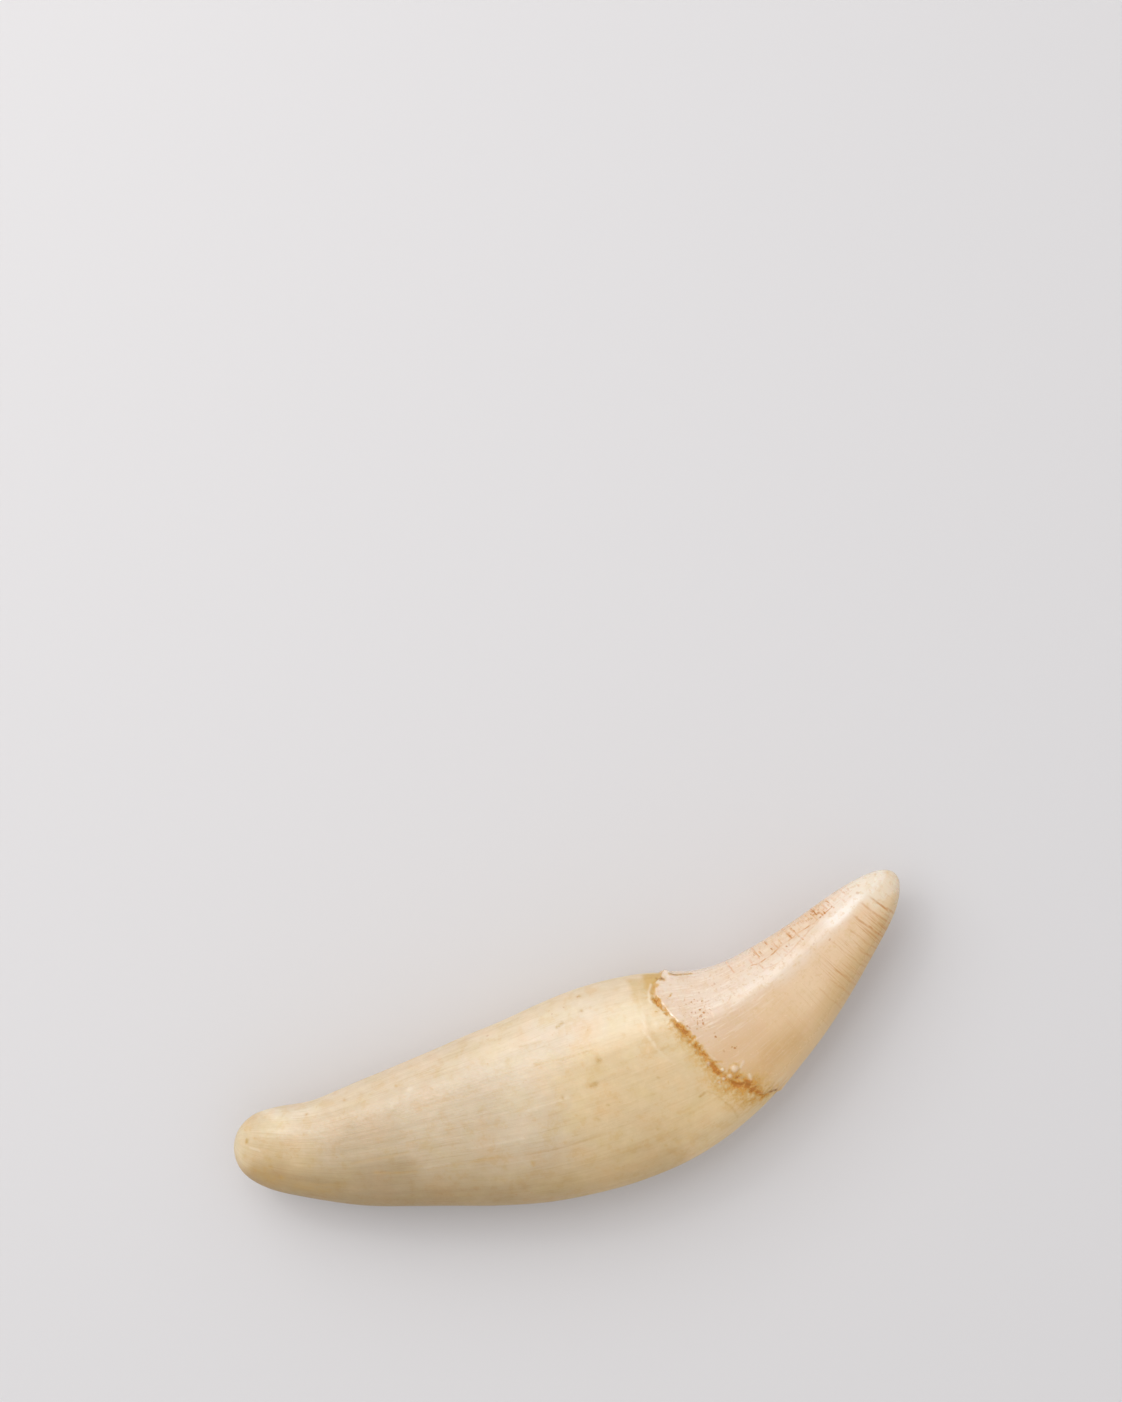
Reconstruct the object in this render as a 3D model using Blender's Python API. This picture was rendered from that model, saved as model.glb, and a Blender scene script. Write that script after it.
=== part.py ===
# Canine tooth of a black bear, lying on its side: one solid that grew as one piece.
#
# The root is two thirds of the length and ends in a blunt, round apex. The crown is a bowed cone
# with a round tip. Where the two meet, the enamel's edge stands a little proud of the root, on a
# line that dips towards the root on the flanks.
#
# X runs from the root's apex to the crown's tip, Y towards the hollow side of the bow, +Z up. The
# origin is under the middle of the tooth, on the surface that it lies on. Metres.

import math

import bmesh
import bpy
import numpy as np

MM = 0.001

# Driving sizes, in millimetres.

# The middle of the tooth seen on its side: points from the apex to the tip, as x and y.
CENTRE_LINE = [
    (0.3, 1.2), (3.0, -0.6), (6.5, -2.3), (14.0, -4.1), (24.0, -5.9), (34.0, -6.7),
    (41.0, -6.6), (48.0, -4.6), (54.0, -1.9), (59.1, 0.6),
]

# Stations along the centre line: distance from the apex, breadth across the bow, thickness.
GIRTHS = [
    (0.0, 0.0, 0.0), (1.0, 4.5, 3.8), (2.0, 5.8, 4.8), (4.0, 7.1, 5.7), (6.0, 7.9, 6.3),
    (10.0, 9.9, 7.5), (16.0, 12.4, 8.9), (24.0, 15.4, 10.2), (31.0, 16.6, 10.4),
    (37.0, 15.6, 9.8), (42.0, 12.6, 8.8), (48.0, 9.6, 7.4), (54.0, 6.8, 5.7), (58.0, 4.9, 4.3),
    (60.0, 3.4, 3.1),
]

FLANK_FLATNESS = 0.05  # share by which the flanks are flatter than an oval's
UPPER_SWELL = 0.03     # share by which the upper flank is fuller than the one it lies on

# The enamel's edge: its distance from the apex on the flanks, the hollow side and the bowed side.
NECK_FLANK = 39.7
NECK_HOLLOW = 38.5
NECK_BOWED = 43.2
NECK_REACH = 9.0       # distance at which the rings beside the edge stop following it
ENAMEL_PROUD = 0.2     # height of the edge over the root
ENAMEL_RISE = 0.3      # width of the slope up to that height
ENAMEL_FADE = 14.0     # distance up the crown at which the height has died away

REST_CUT = 0.15        # depth of the small flat under the thickest place, which the tooth lies on

# Mesh density.
AROUND = 48
ROOT_RINGS = 32
RISE_RINGS = 2
CROWN_RINGS = 26

COLLECTION_NAME = "bear_tooth"
TOOTH_NAME = "tooth"


def clear_scene():
    for obj in list(bpy.data.objects):
        bpy.data.objects.remove(obj, do_unlink=True)


def natural_spline(at, values):
    """A smooth curve through the values at the stations, straight at its two ends."""
    at = np.array(at, float)
    values = np.array(values, float)
    step = np.diff(at)
    slope = np.diff(values) / step
    matrix = np.eye(len(at))
    right = np.zeros(len(at))
    for i in range(1, len(at) - 1):
        matrix[i, i - 1:i + 2] = step[i - 1], 2 * (step[i - 1] + step[i]), step[i]
        right[i] = 6 * (slope[i] - slope[i - 1])
    bend = np.linalg.solve(matrix, right)

    def curve(x):
        i = min(max(int(np.searchsorted(at, x)) - 1, 0), len(step) - 1)
        a = (at[i + 1] - x) / step[i]
        b = 1 - a
        cubic = ((a**3 - a) * bend[i] + (b**3 - b) * bend[i + 1]) * step[i]**2 / 6
        return a * values[i] + b * values[i + 1] + cubic

    return curve


class ToothForm:
    """Gives the point of the surface at a distance along the tooth and an angle round it."""

    def __init__(self):
        points = np.array(CENTRE_LINE)
        chords = np.hypot(*np.diff(points, axis=0).T)
        along = np.concatenate([[0.0], np.cumsum(chords)])
        self.length = float(along[-1])
        self.middle_x = natural_spline(along, points[:, 0])
        self.middle_y = natural_spline(along, points[:, 1])
        at, breadths, thicknesses = np.array(GIRTHS + [(self.length, 0.0, 0.0)]).T
        # Squares of the sizes are smoothed, because towards a round end those change evenly.
        self.breadth_squared = natural_spline(at, breadths**2)
        self.thickness_squared = natural_spline(at, thicknesses**2)

    def direction(self, distance):
        back = max(distance - 0.01, 0.0)
        ahead = min(distance + 0.01, self.length)
        x = self.middle_x(ahead) - self.middle_x(back)
        y = self.middle_y(ahead) - self.middle_y(back)
        size = math.hypot(x, y)
        return x / size, y / size

    def neck_shift(self, flank_distance, side):
        """How far a ring is drawn along to follow the enamel's edge. side is 1 on the hollow side."""
        tilt = (NECK_HOLLOW - NECK_BOWED) / 2
        bow = (NECK_HOLLOW + NECK_BOWED) / 2 - NECK_FLANK
        near_neck = math.exp(-((flank_distance - NECK_FLANK) / NECK_REACH)**2)
        off_ends = math.sin(math.pi * flank_distance / self.length)
        return (tilt * side + bow * side**2) * near_neck * off_ends

    def enamel_height(self, flank_distance):
        rise = (flank_distance - NECK_FLANK) / ENAMEL_RISE + 0.5
        fade = (flank_distance - NECK_FLANK) / ENAMEL_FADE
        return ENAMEL_PROUD * min(max(rise, 0), 1) * (1 - min(max(fade, 0), 1))**2

    def point(self, flank_distance, angle):
        side, up = math.cos(angle), math.sin(angle)
        distance = flank_distance + self.neck_shift(flank_distance, side)
        enamel = self.enamel_height(flank_distance)
        half_breadth = math.sqrt(max(self.breadth_squared(distance), 0)) / 2 + enamel
        half_thickness = math.sqrt(max(self.thickness_squared(distance), 0)) / 2 + enamel
        flattened = (up + FLANK_FLATNESS * math.sin(3 * angle)) / (1 - FLANK_FLATNESS)
        along_x, along_y = self.direction(distance)
        return (
            self.middle_x(distance) - along_y * half_breadth * side,
            self.middle_y(distance) + along_x * half_breadth * side,
            half_thickness * (flattened + UPPER_SWELL * up**2),
        )


def ring_distances(length):
    """Where the rings cross the flank, from the apex to the tip, closer together at both ends."""
    below = NECK_FLANK - ENAMEL_RISE / 2
    above = NECK_FLANK + ENAMEL_RISE / 2
    quarter = math.pi / 2
    root = below * (1 - np.cos(np.linspace(0, quarter, ROOT_RINGS + 1)))
    rise = np.linspace(below, above, RISE_RINGS + 1)
    crown = above + (length - above) * np.sin(np.linspace(0, quarter, CROWN_RINGS + 1))
    return [float(distance) for distance in np.concatenate([root, rise[1:], crown[1:]])]


def make_tooth_mesh():
    """A sphere with its poles at the apex and the tip, drawn out ring by ring to the tooth's form."""
    form = ToothForm()
    distances = ring_distances(form.length)
    last_ring = len(distances) - 1
    bm = bmesh.new()
    bmesh.ops.create_uvsphere(bm, u_segments=AROUND, v_segments=last_ring, radius=1.0)
    crown_verts = set()
    for vert in bm.verts:
        from_tip = math.acos(min(max(vert.co.z, -1), 1)) / math.pi
        ring = last_ring - round(last_ring * from_tip)
        if ring >= ROOT_RINGS + RISE_RINGS:
            crown_verts.add(vert)
        vert.co = form.point(distances[ring], math.atan2(vert.co.y, vert.co.x))
    for face in bm.faces:
        face.smooth = True
        face.material_index = 1 if crown_verts.issuperset(face.verts) else 0

    rest_height = min(vert.co.z for vert in bm.verts) + REST_CUT
    for vert in bm.verts:
        vert.co.z = max(vert.co.z, rest_height)

    corners = np.array([vert.co for vert in bm.verts])
    low, high = corners.min(axis=0), corners.max(axis=0)
    base_x, base_y, _ = (low + high) / 2
    bmesh.ops.translate(bm, vec=(-base_x, -base_y, -low[2]), verts=bm.verts)
    bmesh.ops.scale(bm, vec=(MM, MM, MM), verts=bm.verts)
    mesh = bpy.data.meshes.new(TOOTH_NAME)
    bm.to_mesh(mesh)
    bm.free()
    return mesh


def make_material(name, colour, roughness):
    material = bpy.data.materials.new(name)
    material.use_nodes = True
    shader = material.node_tree.nodes["Principled BSDF"]
    shader.inputs["Base Color"].default_value = (*colour, 1.0)
    shader.inputs["Roughness"].default_value = roughness
    shader.inputs["Metallic"].default_value = 0.0
    return material


def main():
    clear_scene()
    collection = bpy.data.collections.new(COLLECTION_NAME)
    bpy.context.scene.collection.children.link(collection)
    tooth = bpy.data.objects.new(TOOTH_NAME, make_tooth_mesh())
    tooth.data.materials.append(make_material("root_cement", (0.68, 0.52, 0.30), 0.45))
    tooth.data.materials.append(make_material("crown_enamel", (0.78, 0.62, 0.43), 0.25))
    collection.objects.link(tooth)


main()
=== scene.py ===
import math

import bpy
import numpy as np
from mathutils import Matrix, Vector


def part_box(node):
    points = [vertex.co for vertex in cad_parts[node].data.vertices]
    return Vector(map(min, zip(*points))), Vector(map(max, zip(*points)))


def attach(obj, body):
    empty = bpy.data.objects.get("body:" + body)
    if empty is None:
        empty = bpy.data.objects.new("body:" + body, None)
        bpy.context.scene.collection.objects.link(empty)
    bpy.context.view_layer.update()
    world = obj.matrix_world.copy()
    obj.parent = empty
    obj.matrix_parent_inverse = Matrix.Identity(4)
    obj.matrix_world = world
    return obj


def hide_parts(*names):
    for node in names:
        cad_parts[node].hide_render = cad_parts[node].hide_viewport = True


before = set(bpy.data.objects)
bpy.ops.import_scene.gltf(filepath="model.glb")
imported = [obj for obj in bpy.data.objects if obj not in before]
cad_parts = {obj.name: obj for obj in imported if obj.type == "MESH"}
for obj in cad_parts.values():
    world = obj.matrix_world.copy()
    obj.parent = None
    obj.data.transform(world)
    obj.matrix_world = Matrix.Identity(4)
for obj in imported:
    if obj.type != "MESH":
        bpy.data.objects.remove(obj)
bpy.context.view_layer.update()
print("frame loaded, nodes:", ", ".join(sorted(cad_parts)))

mm = 0.001  # metres in a millimetre


# Form of the tooth

toothShape = dict(
    centreLine=[  # x towards the crown and y towards the hollow side, from apex to tip
        (0.3, 1.2), (3.0, -0.6), (6.5, -2.3), (14.0, -4.1), (24.0, -5.9), (34.0, -6.7),
        (41.0, -6.6), (48.0, -4.6), (54.0, -1.9), (59.1, 0.6),
    ],
    girths=[  # distance from the apex, breadth across the bow, thickness
        (0.0, 0.0, 0.0), (1.0, 4.5, 3.8), (2.0, 5.8, 4.8), (4.0, 7.1, 5.7), (6.0, 7.9, 6.3),
        (10.0, 9.9, 7.5), (16.0, 12.4, 8.9), (24.0, 15.4, 10.2), (31.0, 16.6, 10.4),
        (37.0, 15.6, 9.8), (42.0, 12.6, 8.8), (48.0, 9.6, 7.4), (54.0, 6.8, 5.7),
        (58.0, 4.9, 4.3), (60.0, 3.4, 3.1),
    ],
    flankFlatness=0.05,  # share by which the flanks are flatter than an oval's
    upperSwell=0.03,  # share by which the upper flank is fuller
    restCut=0.15,  # depth of the small flat that the tooth lies on
    restBlend=0.05,  # roundness of that flat's rim
    boxMargin=0.01,  # room left inside the frame's box
    bands=414,  # bands of faces along the tooth
    around=228,  # faces in each band
)


def naturalSpline(at, values):
    at = np.array(at, float)
    values = np.array(values, float)
    step = np.diff(at)
    slope = np.diff(values) / step
    matrix = np.eye(len(at))
    right = np.zeros(len(at))
    for i in range(1, len(at) - 1):
        matrix[i, i - 1:i + 2] = step[i - 1], 2 * (step[i - 1] + step[i]), step[i]
        right[i] = 6 * (slope[i] - slope[i - 1])
    bend = np.linalg.solve(matrix, right)

    def curve(x):
        i = np.clip(np.searchsorted(at, x) - 1, 0, len(step) - 1)
        ahead = (x - at[i]) / step[i]
        back = 1 - ahead
        cubic = ((back**3 - back) * bend[i] + (ahead**3 - ahead) * bend[i + 1]) * step[i]**2 / 6
        return back * values[i] + ahead * values[i + 1] + cubic

    return curve


class ToothForm:  # the smooth tooth, without its surface detail

    def __init__(self, shape):
        line = np.array(shape["centreLine"])
        chords = np.hypot(*np.diff(line, axis=0).T)
        along = np.concatenate([[0], np.cumsum(chords)])
        self.length = along[-1]
        self.middleX = naturalSpline(along, line[:, 0])
        self.middleY = naturalSpline(along, line[:, 1])
        at, breadths, thicknesses = np.array(shape["girths"] + [(self.length, 0, 0)]).T
        self.breadthSquared = naturalSpline(at, breadths**2)  # squares change evenly at round ends
        self.thicknessSquared = naturalSpline(at, thicknesses**2)
        self.flatness = shape["flankFlatness"]
        self.swell = shape["upperSwell"]

    def straightPoint(self, along, turn):  # the place on a tooth with its bow taken out
        breadth = np.sqrt(np.maximum(self.breadthSquared(along), 0)) / 2
        thickness = np.sqrt(np.maximum(self.thicknessSquared(along), 0)) / 2
        up = np.sin(turn)
        flattened = (up + self.flatness * np.sin(3 * turn)) / (1 - self.flatness)
        height = thickness * (flattened + self.swell * up**2)
        return np.stack(np.broadcast_arrays(along, breadth * np.cos(turn), height), axis=-1)

    def bowed(self, straight):  # the same place on the bowed tooth
        along, across, height = np.moveaxis(straight, -1, 0)
        back = np.maximum(along - 0.01, 0)
        ahead = np.minimum(along + 0.01, self.length)
        stepX = self.middleX(ahead) - self.middleX(back)
        stepY = self.middleY(ahead) - self.middleY(back)
        size = np.hypot(stepX, stepY)
        x = self.middleX(along) - stepY / size * across
        y = self.middleY(along) + stepX / size * across
        return np.stack([x, y, height], axis=-1)


def smoothStep(low, high, x):
    share = np.clip((x - low) / (high - low), 0, 1)
    return share * share * (3 - 2 * share)


def spread(count, high, density):  # count places from 0 to high, closer together where it is dense
    fine = np.linspace(0, high, 20001)  # fine enough for the closest places
    total = np.concatenate([[0], np.cumsum(density((fine[1:] + fine[:-1]) / 2))])
    return np.interp(np.linspace(0, 1, count), total / total[-1], fine)


# Rings are closest at the neck and the two round ends.
ringSpacing = dict(root=0.2, neck=0.07, crown=0.125, neckFrom=37.4, neckTo=43.6, blend=1.2, endReach=1.3)


def ringDensity(length):
    s = ringSpacing

    def density(along):
        pastRoot = smoothStep(s["neckFrom"] - s["blend"], s["neckFrom"], along)
        pastNeck = smoothStep(s["neckTo"], s["neckTo"] + s["blend"], along)
        spacing = s["root"] + (s["neck"] - s["root"]) * pastRoot + (s["crown"] - s["neck"]) * pastNeck
        ends = np.sqrt(s["endReach"] / np.maximum(along, 1e-4))
        ends += np.sqrt(s["endReach"] / np.maximum(length - along, 1e-4))
        return 1 / spacing + ends / s["root"]

    return density


def turnDensity(turn):  # the broad flanks, and most of all the upper one
    return (1 + 0.35 * np.sin(turn)**2) * (1 + 0.35 * np.sin(turn))


def ripple(along, turn, step, countRound, seed):  # smooth noise from -1 to 1 that closes round the tooth
    rng = np.random.default_rng(seed)
    knots = rng.uniform(-1, 1, (int(70 / step) + 3, countRound))
    a = np.maximum(along, 0) / step
    r = turn / (2 * np.pi) * countRound
    i = np.floor(a).astype(int)
    j = np.floor(r).astype(int)
    fa = smoothStep(0, 1, a - i)
    fr = smoothStep(0, 1, r - j)
    j, k = j % countRound, (j + 1) % countRound
    near = knots[i, j] * (1 - fr) + knots[i, k] * fr
    far = knots[i + 1, j] * (1 - fr) + knots[i + 1, k] * fr
    return near * (1 - fa) + far * fa


def bell(x, width):
    return np.exp(-(x / width)**2)


# The enamel's ragged edge, and what stands along it

neckShape = dict(
    edge=[  # turn, distance from the apex
        (0, 39.4), (12, 39.3), (18, 38.9), (24, 38.3), (32, 38.0), (40, 37.95), (46, 38.1),
        (51, 38.3), (56, 38.4), (60, 38.65), (65, 38.9), (70, 39.1), (74, 39.35), (77, 39.5),
        (80, 39.5), (83, 39.75), (87, 39.8), (92, 39.95), (97, 40.1), (101, 40.25), (105, 40.3),
        (110, 40.5), (115, 40.85), (120, 41.1), (123, 41.3), (125, 41.75), (130, 41.9), (138, 42.0),
        (144, 42.1), (150, 42.45), (156, 42.9), (169, 43.2), (182, 43.2), (196, 42.7), (203, 42.2),
        (214, 42.0), (226, 41.2), (232, 41.3), (244, 40.5), (256, 40.0), (262, 40.2), (275, 39.6),
        (286, 39.3), (292, 39.5), (304, 38.9), (318, 38.5), (330, 38.6), (345, 39.0),
    ],
    proud=0.14,  # height of the enamel over the root at its edge
    rise=0.3,  # width of the slope up to that height
    fade=14.0,  # distance up the crown at which the height has died away
    lip=(0.04, 0.3, 0.3),  # height, distance past the edge and width of the swelling there
    gutter=(0.07, 0.12, 0.16), # depth, distance before the edge and width of the groove there
    knobs=0.5,  # width of the strip of small knobs along the edge
)
stainShape = dict(
    groove=[  # turn, strength of the amber stain in the groove
        (0, 0.4), (20, 0.8), (38, 0.9), (50, 0.75), (57, 0.4), (62, 0.45), (67, 0.9), (76, 1.0),
        (80, 0.6), (84, 0.9), (92, 0.75), (97, 0.6), (101, 0.9), (108, 0.85), (113, 0.6), (120, 0.9),
        (132, 0.9), (142, 1.0), (148, 0.6), (156, 0.4), (200, 0.5), (228, 0.9), (240, 0.5),
        (262, 0.8), (290, 0.6), (310, 0.9), (340, 0.4),
    ],
    haze=[  # turn, strength of the golden haze on the root before the edge
        (0, 0.2), (40, 0.4), (56, 0.2), (66, 0.8), (80, 0.8), (100, 0.9), (115, 1.1), (130, 1.3),
        (146, 1.1), (158, 0.5), (200, 0.5), (230, 0.9), (270, 0.6), (320, 0.4),
    ],
    before=0.1,  # distance of the stain's middle before the edge
    grooveStrength=0.62,
    grooveWidth=(0.16, 0.46),  # least and greatest
    hazeStrength=0.42,
    hazeWidth=(1.1, 0.4),  # over the root and over the crown
    hazeWider=(0.5, 0.7),  # added to that towards the bowed end of the upper flank
    widerFrom=(100, 122),  # turns over which that sets in and ends again
    widerTo=(160, 190),
)
bandShape = dict(  # the thin pale line round the root, with a painted shadow strip on its crown side
    line=[  # turn, distance from the apex
        (15, 37.0), (30, 36.7), (45, 36.4), (59, 36.1), (64, 36.0), (69, 36.15), (76, 36.4),
        (87, 37.2), (93, 37.5), (104, 38.2), (115, 39.0), (125, 39.6), (135, 40.0), (150, 40.3),
        (175, 40.4), (215, 39.3), (250, 38.0), (280, 37.1), (320, 36.4), (350, 36.7),
    ],
    shows=[  # turn, strength
        (0, 0.1), (30, 0.1), (50, 0.45), (57, 0.75), (74, 0.6), (82, 0.25), (90, 0.04), (120, 0.0),
        (260, 0.1), (300, 0.4),
    ],
    rise=(0.02, 0.12),  # height and width of the line
    pale=(0.7, 0.11),  # strength and width of its colour
    shadowStrip=(0.25, 0.3),  # the like for the painted shadow strip
    shadowStripAt=0.4,  # distance of the painted shadow strip past the line
)
foldShape = dict(  # hair-like folds at the bowed end of the enamel's edge
    middle=(43.1, 158),  # distance from the apex, turn
    radius=1.3,
    height=0.05,
    brown=0.4,  # strength of the two colours: the strands' own brown and pale, laid as painted shade in the valleys and painted highlight on the tops
    pale=0.5,
)

ridgeShape = dict(  # the low crest along the flank that looks up
    line=[  # distance from the apex, turn
        (20, 66), (28, 67), (34, 69), (39, 67), (46, 64), (50, 66), (53, 62.5), (57, 69), (61, 68),
    ],
    height=0.12,
    width=1.1,
    roundness=0.42,
    rootRoundness=0.8,
    rounder=(5.0, 3.0),  # distances past and before the enamel's edge between which the two meet
    tipRoundness=0.9,
    tipFrom=53.0,  # where it starts to get rounder and lower towards the tip
    tipLoss=0.7,  # share of the height that is lost there
    starts=22.0,
    full=34.0,
    fullBreadth=4.5,  # half the tooth's breadth at which the height is as given
    sizes=(0.3, 1.3),  # least and greatest height elsewhere, as shares
    dents=[  # turn, half width in degrees and depth of the flattened faces beside it
        (42, 17, 0.22), (106, 30, 0.2),
    ],
    farShare=0.5,  # strength of the like crest on the other flank
)

ripples = dict(  # unevenness: size, step along the tooth, count round it, seed
    swell=(0.09, 8.0, 6, 1),  # slow, over the whole tooth
    dimple=(0.035, 3.5, 12, 2),
    flute=(0.013, 16.0, 64, 3),  # long and fine, on the root and the crown's base
    fineFlute=(0.006, 9.0, 150, 4),
    pebble=(0.008, 1.3, 40, 5),
    scallop=(0.1, 3.0, 110, 11),  # small waves in the enamel's edge
    stain=(0.4, 1.0, 70, 12),  # strength of the amber stain
    lip=(0.5, 1.0, 60, 13),  # height of the lip
    band=(0.06, 2.0, 60, 14),  # course of the pale line
    bandShows=(0.5, 4.0, 22, 15),  # strength of the pale line
    fold=(1.0, 1.1, 170, 16),
    knob=(0.05, 0.35, 120, 17),
    stainPatch=(0.75, 0.7, 90, 18),  # gaps in the stain
    stainWidth=(1.0, 1.3, 64, 19),
)
rippleFades = dict(
    ends=3.0,  # the slow ones die away over this distance at both ends
    flutes=(3, 12),  # the flutes set in between these distances from the apex
    crownFlutes=0.65,  # share of the flutes that is lost on the crown
)

# Small marks: a stroke's half width, its height over the surface or its depth under it, the
# strength of its colour, and the places that it joins, as distance from the apex and turn.
brownMarks = [
    (0.1, -0.05, 0.7, (38.65, 16.5), (38.8, 18)), (0.12, -0.06, 0.75, (39, 18.6), (39.2, 20)),
    (0.1, -0.03, 0.7, (40.1, 13.5), (40.7, 12.8)), (0.08, -0.02, 0.5, (41, 12.5), (41.7, 12)),
    (0.11, -0.07, 0.3, (41.3, 116.5), (41.45, 118), (41.62, 119.5)),
    (0.09, -0.05, 0.6, (42.12, 134)), (0.09, -0.04, 0.6, (42.3, 149), (42.55, 150.5)),
    (0.1, -0.05, 0.75, (42.75, 152), (43.05, 155), (43.1, 158)),
    (0.08, -0.03, 0.35, (43.15, 162), (43.2, 166)), (0.12, -0.05, 0.3, (37.97, 41)),
    (0.1, -0.04, 0.3, (40.38, 107)), (0.09, -0.04, 0.3, (39.27, 72)),
]
amberMarks = [
    (0.22, -0.1, 0.9, (37.85, 40), (38.05, 42)), (0.2, -0.06, 0.6, (38, 46), (38.15, 48.5)),
    (0.17, -0.06, 0.7, (38.2, 51), (38.35, 55.5)), (0.15, -0.04, 0.5, (38.6, 62), (38.85, 66)),
    (0.26, -0.1, 0.8, (38.95, 67), (39.05, 70), (39.25, 72)),
    (0.2, -0.08, 0.7, (39.25, 72), (39.35, 75)),
    (0.1, -0.06, 0.8, (39.1, 78.3), (39.4, 78), (39.72, 76.3)),
    (0.22, -0.1, 0.7, (39.5, 82), (39.7, 84.5), (39.65, 87)),
    (0.14, -0.08, 0.8, (39.85, 88.5), (39.95, 93)), (0.22, -0.08, 0.8, (40, 98), (40.2, 101)),
    (0.1, -0.03, 0.4, (40.4, 98), (40.85, 100)), (0.18, -0.1, 0.8, (40.15, 104), (40.35, 107)),
    (0.15, -0.06, 0.5, (40.5, 109), (40.75, 114)),
    (0.18, -0.09, 0.7, (40.85, 117), (41, 121), (41.2, 123)),
    (0.09, -0.05, 0.7, (41.2, 123.2), (41.7, 123.4)),
    (0.14, -0.07, 0.8, (41.78, 125), (41.85, 130)),
    (0.25, -0.12, 0.9, (41.85, 133), (41.95, 138), (42.05, 143)),
    (0.15, -0.06, 0.5, (42.05, 145), (42.15, 148)),
    (0.08, -0.04, 0.6, (38.9, 41), (39.25, 39.5), (39.5, 37)),
    (0.08, -0.02, 0.4, (37.4, 51.5), (38, 50.5)), (0.22, -0.03, 1.5, (41.42, 117.3)),
    (0.45, 0, 0.35, (41, 121), (41.5, 124), (41.9, 131)),
    (0.25, -0.02, 0.6, (42.15, 151), (42.5, 153)), (0.3, -0.02, 0.5, (38.9, 18), (39.2, 20)),
    (0.2, -0.01, 0.4, (40, 14), (42.3, 12)),
]
paleMarks = [  # beads of enamel and other light spots; a ring of amber is round the first five
    (0.26, 0.17, 0.45, (41.47, 109.5)), (0.13, 0.09, 0.8, (40.62, 105)),
    (0.16, 0.08, 0.6, (40.9, 112)), (0.12, 0.07, 0.7, (40.42, 111.5)), (0.11, 0.06, 0.6, (40, 112)),
    (0.12, 0.06, 0.7, (39.88, 96.6)), (0.11, 0.05, 0.5, (42.18, 121), (42.12, 125)),
    (0.1, 0.04, 0.45, (41.9, 111.5), (42.3, 109)), (0.11, 0.05, 0.7, (38.25, 49.3)),
    (0.14, 0.02, 0.4, (37.1, 60)), (0.13, 0.03, 0.45, (38.2, 64)),
    (0.13, 0.03, 0.3, (40.2, 91.5), (40.45, 96)),
    (0.11, 0.02, 0.6, (37.95, 24), (37.5, 32), (37.3, 40), (37.4, 44)),
    (0.42, 0.16, 0.2, (39.7, 6), (39.95, 14)), (0.5, 0.05, 0.1, (39, 31), (39.2, 34)),
    (0.11, 0.03, 0.8, (28.12, 85.5)), (0.12, 0.01, 0.2, (1.5, 93), (2.4, 93.5)),
    (0.25, 0, 0.35, (15.6, 48)), (0.11, 0.008, 0.12, (14, 89.4), (16, 88.4), (17.2, 89.4)),
    (0.11, 0.008, 0.12, (15.6, 113.2), (17.6, 112)),
    (0.1, 0.01, 0.15, (19.5, 103), (21.8, 102.5), (24, 102)),
    (0.1, 0.01, 0.18, (24.4, 87), (26, 86), (27.6, 86.2)),
]
ringedMarks = paleMarks[:5]
amberRing = (0.5, 1.5, 0.4)  # strength, and radius and width as shares of the mark's half width
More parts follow.
